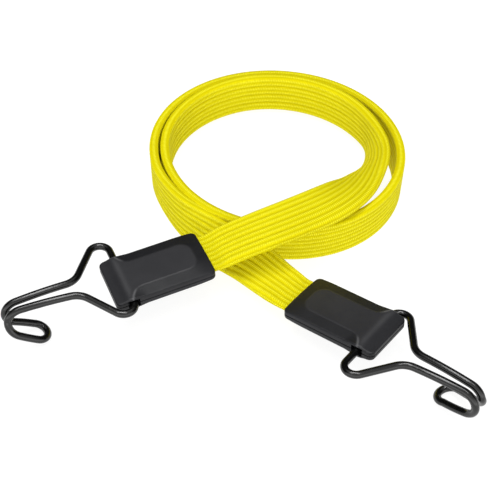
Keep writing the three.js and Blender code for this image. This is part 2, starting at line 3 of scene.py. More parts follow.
import bmesh
import bpy
import numpy as np
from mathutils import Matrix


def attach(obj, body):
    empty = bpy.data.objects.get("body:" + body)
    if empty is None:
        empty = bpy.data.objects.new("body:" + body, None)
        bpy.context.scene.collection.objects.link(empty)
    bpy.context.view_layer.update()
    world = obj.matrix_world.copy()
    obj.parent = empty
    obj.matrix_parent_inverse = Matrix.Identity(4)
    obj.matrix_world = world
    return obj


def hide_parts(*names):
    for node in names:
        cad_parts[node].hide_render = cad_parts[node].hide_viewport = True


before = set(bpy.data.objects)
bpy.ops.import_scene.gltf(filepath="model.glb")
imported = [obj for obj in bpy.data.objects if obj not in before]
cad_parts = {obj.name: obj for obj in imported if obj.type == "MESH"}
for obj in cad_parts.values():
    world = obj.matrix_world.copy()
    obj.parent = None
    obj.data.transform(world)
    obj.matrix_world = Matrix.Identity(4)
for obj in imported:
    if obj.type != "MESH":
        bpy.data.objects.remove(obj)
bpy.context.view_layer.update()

# Camera
# It stands in front of the cord and looks down on it at 50 degrees. Its place is given from the
# floor point in the middle of the picture, which lies beside the part's own origin. Sizes are in
# millimetres, here and in the pieces below, and become metres where an object is made.
MM = 0.001
PICTURE_MIDDLE = np.array([2.65, 46.02, 0.0])
CAMERA_DISTANCE = 407.0
CAMERA_HEIGHT_DEG = 50.0
PICTURE_SIDE_PX = 487
FOCAL_PX = 1040

height = math.radians(CAMERA_HEIGHT_DEG)
away = np.array([0.0, -math.cos(height), math.sin(height)]) * CAMERA_DISTANCE
camera_data = bpy.data.cameras.new("camera")
camera_data.lens = camera_data.sensor_width * FOCAL_PX / PICTURE_SIDE_PX
camera_data.clip_start = 0.01
camera = bpy.data.objects.new("camera", camera_data)
camera.location = (PICTURE_MIDDLE + away) * MM
camera.rotation_euler = (math.radians(90 - CAMERA_HEIGHT_DEG), 0, 0)
bpy.context.collection.objects.link(camera)
bpy.context.scene.camera = camera

# Strap
# A woven elastic band of four ribs, yellow polyester over rubber, 18 mm wide. It leaves the left
# cover flat, leans over into a loose coil on its edge, and twists flat again into the right cover.
STRAP_WIDTH = 18.0
STRAP_THICKNESS = 3.6
RIB_COUNT = 4
RIB_PITCH = STRAP_WIDTH / RIB_COUNT
RIB_STEPS = 15
ROW_COUNT = 2 * RIB_COUNT
CREST_HALF = 1.1
CREST_GROOVE = 0.12
VALLEY_DEPTH = 0.42
VALLEY_CURVE = 1.9
SIDE_HALF = 0.95
SIDE_CURVE = 2.2
FOOT_CUT = 0.5
RING_SPACING = 1.3
JACKET_WALL = 0.9
BORE_INSET = 0.2
BORE_CORNERS = [
    (-1, -0.6), (-0.8, -1), (0.8, -1), (1, -0.6), (1, 0.6), (0.8, 1), (-0.8, 1), (-1, 0.6)
]
CRIMPED_THICKNESS = 1.2
MOUTH_THICKNESS = 2.0
SWELL_LENGTH = 9.0
STITCH = 0.74
STITCH_LEAN = 0.6

# Places along a cover. The hook's crossbar lies at 0, the nose ahead of it, the mouth behind it.
COVER_LENGTH = 37.9
AXIS_TO_NOSE = 6.3
MOUTH_X = AXIS_TO_NOSE - COVER_LENGTH
STRAP_END_X = -3.55
CRIMP_MOUTH_X = -9.45
STRAIGHT_AHEAD = 4.0

# Where each crossbar lies, from the middle of the picture, and how its cover is turned.
LEFT_END = {"place": (-43.1, -30.3, 14.3), "yaw": 203.4, "nose": -1.0, "roll": 4.4}
RIGHT_END = {"place": (45.8, -51.2, 12.5), "yaw": -37.3, "nose": 7.8, "roll": -8.0}

# The coil is an oval. Its turns are counted in degrees from where the left strand runs into it.
COIL_CENTRE = (13.4, 36.7, 0.0)
COIL_HALF_LENGTH = 49.8
COIL_HALF_WIDTH = 44.4
COIL_TURN = -10.0
LAYER_PITCH = 4.4
INNER_DRAW = 3.2
DRAW_LAST = 110
INNER_LIFT = 3.0
LIFT_LAST = 240
STEP_OUT_FIRST = 190
STEP_OUT_LAST = 320
COIL_FIRST = 20
COIL_LAST = 560
COIL_STEP = 7.5
ON_EDGE = -90.0

# The strands between the coil and the covers: x, y and z of the middle line, and the lean of the
# strap in degrees, 0 where it lies flat and -90 where it stands on its edge.
UPPER_STRAND = [
    (-5, -14.3, 17, -2),
    (6, -11, 20, -1),
    (18.5, -5.5, 21, 0),
    (31, 1.5, 20.9, -1),
    (41.2, 11.4, 18.3, -12),
    (48.3, 24, 14.2, -38),
    (53.2, 34.8, 12, -62),
]
LOWER_STRAND = [
    (-24.6, 8.4, 8.6, -98),
    (-16.2, 0, 8.5, -112),
    (-7.6, -7.7, 7.7, -136),
    (1.4, -13.6, 7.4, -160),
    (9.8, -22, 7, -180),
]
STEPS_PER_SPAN = 12
ROUTE_EASING = 3.5


def turn_about(axis, angle):
    """The matrix of a turn about one axis, which is 0, 1 or 2."""
    a, b = (axis + 1) % 3, (axis + 2) % 3
    matrix = np.eye(3)
    matrix[a, a], matrix[a, b] = math.cos(angle), -math.sin(angle)
    matrix[b, a], matrix[b, b] = math.sin(angle), math.cos(angle)
    return matrix


def end_turn(end):
    """How the cover and hook of an end are turned: rolled, then nose up, then round to the side."""
    yaw, nose, roll = (math.radians(end[turn]) for turn in ("yaw", "nose", "roll"))
    return turn_about(2, yaw) @ turn_about(1, -nose) @ turn_about(0, roll)


def placed(points, end):
    """Points of a cover or hook, in its own millimetres, to the part's frame in metres."""
    return (np.asarray(points, float) @ end_turn(end).T + end["place"] + PICTURE_MIDDLE) * MM


def smooth(value, low=0.0, high=1.0):
    """From 0 at low to 1 at high, with no corner at either."""
    share = np.clip((np.asarray(value, float) - low) / (high - low), 0, 1)
    return share * share * (3 - 2 * share)


def cover_places(end, lean):
    """The strap's straight stretch inside a cover, from its cut end to just outside the mouth."""
    halfway = (CRIMP_MOUTH_X + MOUTH_X) / 2
    reaches = [STRAP_END_X, CRIMP_MOUTH_X, halfway, MOUTH_X, MOUTH_X - STRAIGHT_AHEAD]
    return [(*(end_turn(end) @ (x, 0, 0) + end["place"]), lean) for x in reaches]


def coil_places():
    """Inner turn, drawn in and lifted at first, then a step out to the outer turn."""
    rows = []
    for angle in np.arange(COIL_FIRST, COIL_LAST + 1, COIL_STEP):
        inset = LAYER_PITCH * (1 - smooth(angle, STEP_OUT_FIRST, STEP_OUT_LAST))
        inset += INNER_DRAW * (1 - smooth(angle, 0, DRAW_LAST))
        lift = INNER_LIFT * (1 - smooth(angle, 0, LIFT_LAST))
        around = math.radians(angle - COIL_TURN)
        on_oval = (
            (COIL_HALF_LENGTH - inset) * math.cos(around),
            (COIL_HALF_WIDTH - inset) * math.sin(around),
            STRAP_WIDTH / 2 - FOOT_CUT + lift,
        )
        place = turn_about(2, math.radians(COIL_TURN)) @ on_oval + COIL_CENTRE
        rows.append((*place, ON_EDGE))
    return rows


def through_points(rows, per_span):
    """A centripetal curve through the places, and their lean carried along it."""
    rows = np.asarray(rows, float)
    rows = np.vstack([2 * rows[0] - rows[1], rows, 2 * rows[-1] - rows[-2]])
    spans = np.sqrt(np.linalg.norm(np.diff(rows[:, :3], axis=0), axis=1))
    out = []
    for k in range(1, len(rows) - 2):
        before, here, there, after = rows[k - 1 : k + 3]
        first, span, last = spans[k - 1 : k + 2]
        ahead = (there - here) / span
        pull_in = (here - before) / first - (there - before) / (first + span) + ahead
        pull_out = ahead - (after - here) / (span + last) + (after - there) / last
        pull_in, pull_out = pull_in * span, pull_out * span
        bend = 3 * (there - here) - 2 * pull_in - pull_out
        swing = 2 * (here - there) + pull_in + pull_out
        for t in np.arange(per_span) / per_span:
            out.append(here + pull_in * t + bend * t**2 + swing * t**3)
    out.append(rows[-2])
    return np.array(out)


def run_along(points):
    """How far along its line each point lies."""
    return np.concatenate([[0], np.cumsum(np.linalg.norm(np.diff(points, axis=0), axis=1))])


def at_distances(points, distances):
    """Places on a line of points, at the given distances along it."""
    line_run = run_along(points[:, :3])
    return np.stack([np.interp(distances, line_run, column) for column in points.T], axis=1)


def eased(values, run, reach, hold):
    """Values smoothed along the run, but left as they are within hold of either end."""
    kernel = np.exp(-0.5 * ((run[:, None] - run[None, :]) / reach) ** 2)
    kernel /= kernel.sum(1, keepdims=True)
    share = smooth(np.minimum(run, run[-1] - run), hold, hold + 3 * reach)[:, None]
    return values * (1 - share) + (kernel @ values) * share


def unit(rows):
    """Each row as a direction of length 1."""
    return rows / np.linalg.norm(rows, axis=1, keepdims=True)


fine = through_points(
    cover_places(LEFT_END, -LEFT_END["roll"])
    + UPPER_STRAND
    + coil_places()
    + LOWER_STRAND
    + cover_places(RIGHT_END, RIGHT_END["roll"] - 180.0)[::-1],
    STEPS_PER_SPAN,
)
strap_length = run_along(fine[:, :3])[-1]
ring_count = int(strap_length / RING_SPACING) + 1
run = np.linspace(0, strap_length, ring_count)
buried = STRAP_END_X - MOUTH_X
route = eased(at_distances(fine, run), run, ROUTE_EASING, buried + 1)
middle, lean = route[:, :3], np.radians(route[:, 3])
along = unit(np.gradient(middle, run, axis=0))
level = unit(np.cross([0, 0, 1], along))
raised = np.cross(along, level)
across = np.cos(lean)[:, None] * level + np.sin(lean)[:, None] * raised
through = np.cross(along, across)

# The crimp, the cover's teeth and its mouth squeeze the strap thinner than it is outside.
from_mouth = np.minimum(run, run[-1] - run) - buried
thickness = CRIMPED_THICKNESS
thickness += (MOUTH_THICKNESS - CRIMPED_THICKNESS) * smooth(from_mouth, -buried / 2, 0)
thickness += (STRAP_THICKNESS - MOUTH_THICKNESS) * smooth(from_mouth, 0, SWELL_LENGTH)
squeeze = thickness / STRAP_THICKNESS


def rib_centre(rib):
    return (rib + 0.5) * RIB_PITCH - STRAP_WIDTH / 2


def strap_face():
    """One face of the section, left to right: place across, height, and place counted in rows."""
    rows = []
    steps = np.linspace(-1, 1, RIB_STEPS)
    for rib in range(RIB_COUNT):
        for step in steps[1:] if rib else steps:
            x = step * RIB_PITCH / 2
            fall = max(abs(x) - CREST_HALF, 0) / (RIB_PITCH / 2 - CREST_HALF)
            outward = x if rib == RIB_COUNT - 1 else -x if rib == 0 else 0
            if outward > CREST_HALF:
                rounding = math.sqrt(max(1 - fall**SIDE_CURVE, 0))
                y = SIDE_HALF + (STRAP_THICKNESS / 2 - SIDE_HALF) * rounding
            elif fall > 0:
                y = STRAP_THICKNESS / 2 - VALLEY_DEPTH * fall**VALLEY_CURVE
            else:
                y = STRAP_THICKNESS / 2 - CREST_GROOVE * (1 - smooth(abs(x), 0, CREST_HALF))
            rows.append((rib_centre(rib) + x, float(y), 2 * rib + 1 + step))
    return rows


def strap_ring():
    """The whole section: a face, an edge with its own groove, and both again on the other side."""
    edge = [
        (STRAP_WIDTH / 2 - CREST_GROOVE * (1 - abs(s)), -SIDE_HALF * s, ROW_COUNT + 0.5 + 0.5 * s)
        for s in (-0.5, 0, 0.5)
    ]
    half = strap_face() + edge
    return np.array(half + [(-x, -y, row + ROW_COUNT + 1) for x, y, row in half])


def sweep(section):
    """A section's points at every ring along the strap."""
    sideways = section[None, :, 0, None] * across[:, None, :]
    upwards = section[None, :, 1, None] * through[:, None, :] * squeeze[:, None, None]
    return middle[:, None, :] + sideways + upwards


def tube_faces(first, size, count, backwards=False):
    """Quads between rings of points that follow each other in a mesh."""
    faces = []
    for k in range(count - 1):
        for j in range(size):
            a, b = first + k * size + j, first + k * size + (j + 1) % size
            faces.append((a, a + size, b + size, b) if backwards else (a, b, b + size, a + size))
    return faces


ring = strap_ring()
outside = sweep(ring)
outside[:, :, 2] = np.maximum(outside[:, :, 2], 0)
bore_half_width = (RIB_PITCH - JACKET_WALL) / 2 - BORE_INSET
bore_half_height = STRAP_THICKNESS / 2 - JACKET_WALL
skins = [outside]
for rib in range(RIB_COUNT):
    skins.append(sweep(np.array([
        (rib_centre(rib) + a * bore_half_width, b * bore_half_height) for a, b in BORE_CORNERS
    ])))
sizes = [skin.shape[1] for skin in skins]
starts = [ring_count * sum(sizes[:k]) for k in range(len(sizes))]
vertices = np.vstack([skin.reshape(-1, 3) for skin in skins])
faces = []
for first, size in zip(starts, sizes):
    faces += tube_faces(first, size, ring_count, backwards=True)
strap_mesh = bpy.data.meshes.new("strap_jacket_woven")
strap_mesh.from_pydata(((vertices + PICTURE_MIDDLE) * MM).tolist(), [], faces)

# The weave's UV map counts rows of stitches one way and millimetres along the strap the other way.
# The walls of the bores, which nobody sees, keep to the middle of one row.
row_of = np.full(len(vertices), 0.5)
row_of[: starts[1]] = np.tile(ring[:, 2], ring_count)
run_of = np.concatenate([np.repeat(run, size) for size in sizes])
workpiece = bmesh.new()
workpiece.from_mesh(strap_mesh)
weave_uv = workpiece.loops.layers.uv.new("weave")
workpiece.verts.index_update()
for face in workpiece.faces:
    closes_ring = any(corner.vert.index % sizes[0] == sizes[0] - 1 for corner in face.loops)
    for corner in face.loops:
        number = corner.vert.index
        last_row = closes_ring and number < starts[1] and number % sizes[0] == 0
        corner[weave_uv].uv = (2 * ROW_COUNT + 2 if last_row else row_of[number], run_of[number])
for station in (0, ring_count - 1):
    workpiece.verts.ensure_lookup_table()
    edges = []
    for first, size in zip(starts, sizes):
        rim = [workpiece.verts[first + station * size + j] for j in range(size)]
        edges += [workpiece.edges.get(pair) for pair in zip(rim, rim[1:] + rim[:1])]
    bmesh.ops.triangle_fill(workpiece, edges=edges, use_beauty=True)
bmesh.ops.recalc_face_normals(workpiece, faces=workpiece.faces)
workpiece.to_mesh(strap_mesh)
workpiece.free()
strap_mesh.shade_smooth()
strap = bpy.data.objects.new("strap_jacket_woven", strap_mesh)
bpy.context.collection.objects.link(strap)


def operator(operation, reflected=False):
    """An operator between a Shade and a Shade or number, which comes first if reflected."""
    def apply(self, other):
        first, second = (other, self) if reflected else (self, other)
        return self.node("ShaderNodeMath", {"operation": operation}, i0=first, i1=second)
    return apply


class Shade:
    """A shader socket with arithmetic, so that patterns read as sums."""

    __add__, __radd__ = operator("ADD"), operator("ADD", reflected=True)
    __sub__, __rsub__ = operator("SUBTRACT"), operator("SUBTRACT", reflected=True)
    __mul__, __rmul__ = operator("MULTIPLY"), operator("MULTIPLY", reflected=True)
    __truediv__, __rtruediv__ = operator("DIVIDE"), operator("DIVIDE", reflected=True)
    __pow__, __rpow__ = operator("POWER"), operator("POWER", reflected=True)

    def __init__(self, tree, socket=None):
        self.tree, self.socket = tree, socket

    def node(self, kind, settings=None, **values):
        """Adds a node and gives its first output. A socket is named, or numbered as in i0."""
        made = self.tree.nodes.new(kind)
        for name, value in (settings or {}).items():
            setattr(made, name, value)
        for name, value in values.items():
            numbered = name[1:].isdigit()
            socket = made.inputs[int(name[1:]) if numbered else name.replace("_", " ")]
            if isinstance(value, Shade):
                self.tree.links.new(value.socket, socket)
            else:
                socket.default_value = value
        return Shade(self.tree, made.outputs[0])

    def output(self, name):
        """Another output of the same node."""
        return Shade(self.tree, self.socket.node.outputs[name])

    def maths(self, operation, *others):
        terms = {f"i{k}": term for k, term in enumerate((self, *others))}
        return self.node("ShaderNodeMath", {"operation": operation}, **terms)

    def rise(self, low, high):
        """Smoothly from 0 at low to 1 at high."""
        settings = {"interpolation_type": "SMOOTHSTEP"}
        return self.node("ShaderNodeMapRange", settings, Value=self, From_Min=low, From_Max=high)

    def noise(self, **values):
        return self.node("ShaderNodeTexNoise", Vector=self, **values)

    def mix(self, first, second):
        """Between two colours, by this share."""
        first, second = (c if isinstance(c, Shade) else (*c, 1) for c in (first, second))
        mixed = self.node("ShaderNodeMix", {"data_type": "RGBA"}, i0=self, i6=first, i7=second)
        return mixed.output(2)


def new_material(name, **constants):
    """A material whose constant values are set on its shader."""
    material = bpy.data.materials.new(name)
    material.use_nodes = True
    shader = material.node_tree.nodes["Principled BSDF"]
    for socket, value in constants.items():
        shader.inputs[socket.replace("_", " ")].default_value = value
    return material, Shade(material.node_tree), shader


def give_surface(shader, colour, roughness, relief, strength, distance):
    """Links a surface's patterns to its shader. The relief's distance is in metres."""
    bump = relief.node("ShaderNodeBump", Height=relief, Strength=strength, Distance=distance)
    for pattern, socket in ((colour, "Base Color"), (roughness, "Roughness"), (bump, "Normal")):
        pattern.tree.links.new(pattern.socket, shader.inputs[socket])


def woven_yellow():
    """Stitches lie in rows, two rows to a rib, each half a stitch out of step with the next."""
    material, on, shader = new_material("woven_yellow_elastic", Specular_IOR_Level=0.05)
    weave = on.node("ShaderNodeUVMap", {"uv_map": "weave"})
    line = on.node("ShaderNodeSeparateXYZ", i0=weave)
    length = line.output(1)
    in_row = line.maths("FRACT")
    odd = line.maths("FLOOR").maths("FLOORED_MODULO", 2.0)
    lean_of_stitch = (in_row - 0.5) * (odd * 2 - 1) * STITCH_LEAN
    turns = length / STITCH + odd * 0.5 + lean_of_stitch
    stitch = (turns * (2 * math.pi)).maths("SINE") * 0.5 + 0.5
    row = (in_row * math.pi).maths("SINE") ** 0.7
    place = on.node("ShaderNodeTexCoord").output("Object")
    patch = place.noise(Scale=55.0, Detail=3.0)
    fibre = place.noise(Scale=2600.0, Detail=2.0)
    # Painted shade: the valleys between the ribs are mixed towards a darker olive, as shade that
    # falls in the creases.
    painted_valley_shade = (((line / 2).maths("FRACT") - 0.5).maths("ABSOLUTE") * 2).rise(0.6, 1.0)
    # Painted highlight: a narrow, almost white line along the crest of each row, strongest on the
    # stitches.
    painted_crest_highlight = (1 - (in_row - 0.5).maths("ABSOLUTE") * 2) ** 2.5
    # The yarn's tone: random patches and fibres and the stitch pattern, with painted shade that
    # darkens the grooves at the edges of each row.
    light = row * 0.1 + row * stitch * 0.7 + fibre * 0.15 + patch * 0.35 - 0.12
    yarn_with_painted_light = light.rise(0.0, 1.0).mix((0.62, 0.53, 0.0), (0.87, 0.80, 0.004))
    yarn_with_painted_light = (painted_crest_highlight * (0.1 + stitch * 0.7)).mix(yarn_with_painted_light, (1.0, 0.95, 0.06))
    colour = (painted_valley_shade * 0.2).mix(yarn_with_painted_light, (0.53, 0.42, 0.0))
    roughness = 0.85 - row * stitch * 0.2 - fibre * 0.1
    relief = row * 0.15 + row * stitch * 0.8 + fibre * 0.3
    give_surface(shader, colour, roughness, relief, 0.8, 0.0003)
    return material


strap_mesh.materials.append(woven_yellow())
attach(strap, "strap_and_covers")
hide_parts("strap_jacket")

# Rubber strands
# Eight strands of natural rubber lie stretched inside the ribs, two to a rib, and give the strap
# its pull. They are laid in while the jacket is woven and are gripped with it at both ends.
STRAND_CLEARANCE = 0.2
STRAND_PARTING = 0.45
STRAND_SIDES = 8
strand_width = (2 * bore_half_width - 2 * STRAND_CLEARANCE - STRAND_PARTING) / 2


class Tree:
    """A tree of Geometry Nodes that grows a mesh along a line, with named inputs for its sizes."""

    def __init__(self, name, **sizes):
        self.group = bpy.data.node_groups.new(name, "GeometryNodeTree")
        inputs = {"Line": "Geometry", **sizes, "Material": "Material"}
        for label, kind in inputs.items():
            self.group.interface.new_socket(
                label.replace("_", " "), in_out="INPUT", socket_type="NodeSocket" + kind)
        self.group.interface.new_socket("Mesh", in_out="OUTPUT", socket_type="NodeSocketGeometry")
        self.given = self.group.nodes.new("NodeGroupInput").outputs

    def node(self, kind, values, **settings):
        """Adds a node, with a value or a link for each socket, and gives its first output."""
        made = self.group.nodes.new(kind)
        for name, value in settings.items():
            setattr(made, name, value)
        for name, value in values.items():
            if hasattr(value, "is_output"):
                self.group.links.new(value, made.inputs[name])
            else:
                made.inputs[name].default_value = value
        return made.outputs[0]

    def maths(self, operation, *terms):
        return self.node("ShaderNodeMath", dict(enumerate(terms)), operation=operation)

    def finish(self, tube):
        """Ends the tree in one plain mesh with its material."""
        single = self.node("GeometryNodeRealizeInstances", {0: tube})
        painted = self.node(
            "GeometryNodeSetMaterial", {"Geometry": single, "Material": self.given["Material"]})
        self.group.links.new(painted, self.group.nodes.new("NodeGroupOutput").inputs[0])
        return self.group


def strands_tree():
    """Copies the strap's middle line for each strand, shifts it into its rib and makes it round."""
    tree = Tree("rubber_strands", Strands="Int", Ribs="Int", Sides="Int",
                Rib_Pitch="Float", Half_Parting="Float", Strand_Width="Float")
    given, maths = tree.given, tree.maths
    line = tree.node("GeometryNodeMeshToCurve", {0: given["Line"]})
    copies = tree.node("GeometryNodeDuplicateElements",
                       {"Geometry": line, "Amount": given["Strands"]}, domain="SPLINE")
    number = copies.node.outputs[1]
    rib = maths("FLOOR", maths("DIVIDE", number, 2.0))
    side = maths("SUBTRACT", maths("MULTIPLY", maths("MODULO", number, 2.0), 2.0), 1.0)
    middle_rib = maths("DIVIDE", maths("SUBTRACT", given["Ribs"], 1.0), 2.0)
    to_rib = maths("MULTIPLY", maths("SUBTRACT", rib, middle_rib), given["Rib Pitch"])
    shift = maths("ADD", to_rib, maths("MULTIPLY", side, given["Half Parting"]))
    way = tree.node("GeometryNodeInputNamedAttribute", {"Name": "across"}, data_type="FLOAT_VECTOR")
    offset = tree.node("ShaderNodeVectorMath", {0: way, 3: shift}, operation="SCALE")
    moved = tree.node("GeometryNodeSetPosition", {"Geometry": copies, "Offset": offset})
    squash = tree.node("GeometryNodeInputNamedAttribute", {"Name": "squeeze"}, data_type="FLOAT")
    radius = maths("MULTIPLY", maths("MULTIPLY", given["Strand Width"], 0.5), squash)
    rod = tree.node(
        "GeometryNodeCurvePrimitiveCircle", {"Resolution": given["Sides"], "Radius": 1.0})
    return tree.finish(tree.node(
        "GeometryNodeCurveToMesh",
        {"Curve": moved, "Profile Curve": rod, "Scale": radius, "Fill Caps": True}))


def grown(name, seed_mesh, tree, inputs):
    """Runs a tree on a mesh and keeps the result as a plain mesh in its own object."""
    seed = bpy.data.objects.new(name + "_seed", seed_mesh)
    bpy.context.collection.objects.link(seed)
    modifier = seed.modifiers.new("grow", "NODES")
    modifier.node_group = tree
    for item in tree.interface.items_tree:
        if item.in_out == "INPUT" and item.name in inputs:
            modifier[item.identifier] = inputs[item.name]
    evaluated = seed.evaluated_get(bpy.context.evaluated_depsgraph_get())
    mesh = bpy.data.meshes.new_from_object(evaluated)
    mesh.name = name
    bpy.data.objects.remove(seed)
    piece = bpy.data.objects.new(name, mesh)
    bpy.context.collection.objects.link(piece)
    return piece


def line_mesh(name, points):
    """A mesh of one line, for a tree to grow along."""
    mesh = bpy.data.meshes.new(name)
    mesh.from_pydata(points.tolist(), [(k, k + 1) for k in range(len(points) - 1)], [])
    return mesh


def natural_rubber():
    """Pale rubber with a dusty bloom."""
    material, on, shader = new_material("natural_rubber", Specular_IOR_Level=0.35)
    bloom = on.node("ShaderNodeTexCoord").output("Object").noise(Scale=900.0, Detail=3.0)
    colour = bloom.mix((0.52, 0.41, 0.22), (0.68, 0.58, 0.38))
    give_surface(shader, colour, 0.65 + bloom * 0.2, bloom, 0.2, 0.0001)
    return material


every_other = slice(0, ring_count, 2)
strands_line = line_mesh("strap_route", (middle[every_other] + PICTURE_MIDDLE) * MM)
ways = strands_line.attributes.new("across", "FLOAT_VECTOR", "POINT")
ways.data.foreach_set("vector", across[every_other].ravel())
room = (bore_half_height - STRAND_CLEARANCE) / (strand_width / 2) * squeeze[every_other]
squashes = strands_line.attributes.new("squeeze", "FLOAT", "POINT")
squashes.data.foreach_set("value", np.minimum(room, 1.0))
strands = grown("rubber_strands", strands_line, strands_tree(), {
    "Strands": 2 * RIB_COUNT,
    "Ribs": RIB_COUNT,
    "Sides": STRAND_SIDES,
    "Rib Pitch": RIB_PITCH * MM,
    "Half Parting": (strand_width + STRAND_PARTING) / 2 * MM,
    "Strand Width": strand_width * MM,
    "Material": natural_rubber(),
})
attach(strands, "strap_and_covers")
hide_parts(*[f"rubber_strand_{n + 1}" for n in range(2 * RIB_COUNT)])

# Covers
# Each end of the strap wears a cover of two black moulded shells, bare and satin, with a raised
# pad that flares into a ridge and slopes down to the nose. They close on two pegs round the strap.
COVER_WIDTH = 22.8
CORNER_RADIUS = 2.0
EDGE_ROUND = 0.6
PARTING_GAP = 0.25
PAD_HALF_WIDTH = 6.6
PAD_START = MOUTH_X + 4.4
PAD_CORNER = 4.5
PAD_HEIGHT = 2.9
PAST_SIDE = 1.5
PAST_NOSE = 3.0
RIDGE_X = 0.6
FLARE_X = -5.6
FLARE_BEND_X = RIDGE_X - 1.6
RIDGE_HEIGHT = 3.25
RIDGE_BACK_SLOPE = 3.1
HOLLOW_HEIGHT = 1.7
NOSE_HEIGHT = 1.9
RIDGE_BLEND = 0.22
FLARE_STEPS = 24
STEP_HEIGHT = 0.14
STEP_WIDTH = 0.9
FLANK_FALL = 0.15
AROUND = 340
RADIAL = 66
RIM_STEPS = 14
RIM_SHARE = 0.08
LIP_SHARE = 0.012
SHARP_EDGE = math.radians(35)
MERGE_WITHIN = 2e-6


def arc(centre, radius, start, stop, count=12):
    return [
        (centre[0] + radius * math.cos(a), centre[1] + radius * math.sin(a))
        for a in np.radians(np.linspace(start, stop, count))
    ]


def cover_outline():
    half, r = COVER_WIDTH / 2, CORNER_RADIUS
    low, high = MOUTH_X, AXIS_TO_NOSE
    points = arc((high - r, r - half), r, -90, 0) + arc((high - r, half - r), r, 0, 90)
    points += arc((low + r, half - r), r, 90, 180) + arc((low + r, r - half), r, 180, 270)
    points = np.array(points + points[:1])
    return at_distances(points, np.linspace(0, run_along(points)[-1], AROUND, endpoint=False))


def pad_outline():
    """The pad's edge. It flares out over the cover's sides at the ridge and ends past the nose."""
    side, end = COVER_WIDTH / 2 + PAST_SIDE, AXIS_TO_NOSE + PAST_NOSE
    start, bend = np.array([FLARE_X, PAD_HALF_WIDTH]), np.array([FLARE_BEND_X, PAD_HALF_WIDTH])
    stop = np.array([RIDGE_X, side])
    t = np.linspace(0, 1, FLARE_STEPS)[:, None]
    flare = (1 - t) ** 2 * start + 2 * t * (1 - t) * bend + t**2 * stop
    corner = arc((PAD_START + PAD_CORNER, PAD_HALF_WIDTH - PAD_CORNER), PAD_CORNER, 180, 90)
    far = corner + flare.tolist() + [(end, side)]
    return np.array(far + [(x, -y) for x, y in reversed(far)])


def inside_distance(points, outline):
    """Distance of each point from a closed outline, positive inside it."""
    nearest = np.full(len(points), 1e9)
    crossings = np.zeros(len(points), int)
    for a, b in zip(outline, np.roll(outline, -1, axis=0)):
        span = b - a
        share = np.clip(((points - a) @ span) / max(span @ span, 1e-12), 0, 1)
        nearest = np.minimum(nearest, np.linalg.norm(points - a - share[:, None] * span, axis=1))
        straddles = (a[1] > points[:, 1]) != (b[1] > points[:, 1])
        with np.errstate(divide="ignore", invalid="ignore"):
            reach = a[0] + (points[:, 1] - a[1]) * span[0] / span[1]
        crossings += straddles & (points[:, 0] < reach)
    return np.where(crossings % 2 == 1, nearest, -nearest)


def cover_height(points):
    """Height of the cover's outside above its parting plane."""
    into_pad = inside_distance(points, pad_outline())
    fall = FLANK_FALL * np.maximum(-into_pad - STEP_WIDTH / 2, 0)
    flank = PAD_HEIGHT - STEP_HEIGHT - fall
    shape = flank + (PAD_HEIGHT - flank) * smooth(into_pad, -STEP_WIDTH / 2, STEP_WIDTH / 2)
    s = np.clip((points[:, 0] - RIDGE_X) / (AXIS_TO_NOSE - RIDGE_X), -1, 1)
    hollow = (1 - s) ** 2 * RIDGE_HEIGHT + 2 * s * (1 - s) * HOLLOW_HEIGHT + s**2 * NOSE_HEIGHT
    nose = np.where(s < 0, RIDGE_HEIGHT - RIDGE_BACK_SLOPE * s, hollow)
    return -RIDGE_BLEND * np.log(np.exp(-shape / RIDGE_BLEND) + np.exp(-nose / RIDGE_BLEND))


def shell_mesh(name):
    """The outside of a shell from its rim to its middle line, closed by a flat underside."""
    outline = cover_outline()
    half = COVER_WIDTH / 2
    spine_x = np.clip(outline[:, 0], MOUTH_X + half, AXIS_TO_NOSE - half)
    inwards = np.stack([spine_x, np.zeros(AROUND)], axis=1) - outline
    rim_depths = np.linspace(0, RIM_SHARE, RIM_STEPS)
    depths = np.concatenate([rim_depths, np.linspace(RIM_SHARE, 1, RADIAL - RIM_STEPS)[1:-1]])
    levels = []
    for depth in depths:
        plan = outline + inwards * depth
        edge = np.maximum(inside_distance(plan, outline), 0) if depth > 0 else np.zeros(AROUND)
        from_round = EDGE_ROUND - np.minimum(edge, EDGE_ROUND)
        drop = EDGE_ROUND - np.sqrt(np.maximum(EDGE_ROUND**2 - from_round**2, 0))
        levels.append(np.column_stack([plan, cover_height(plan) - drop]))
    low = PARTING_GAP / 2
    under = [np.column_stack([outline + inwards * depth, np.full(AROUND, low)])
             for depth in (0.9, 0.4, LIP_SHARE)]
    wall = [np.column_stack([outline, low + (levels[0][:, 2] - low) * up]) for up in (0.1, 0.5)]
    rings = under + wall + levels
    last = (len(rings) - 1) * AROUND
    faces = tube_faces(0, AROUND, len(rings))
    faces += [tuple(range(last, last + AROUND)), tuple(reversed(range(AROUND)))]
    mesh = bpy.data.meshes.new(name)
    mesh.from_pydata(np.vstack(rings).tolist(), [], faces)
    return mesh


def block(low, high):
    """A tool that is a block between two corners."""
    def build(tool):
        bmesh.ops.create_cube(tool, size=1)
        for vert in tool.verts:
            vert.co = [(a + b) / 2 + c * (b - a) for a, b, c in zip(low, high, vert.co)]
    return build


def round_bar(centre, radius, half_length, sides, upright):
    """A tool that is a round bar, upright or lying across the cover."""
    def build(tool):
        bmesh.ops.create_cone(tool, cap_ends=True, segments=sides, radius1=radius,
                              radius2=radius, depth=2 * half_length)
        for vert in tool.verts:
            x, y, z = vert.co
            vert.co = np.add(centre, (x, y, z) if upright else (x, z, y))
    return build


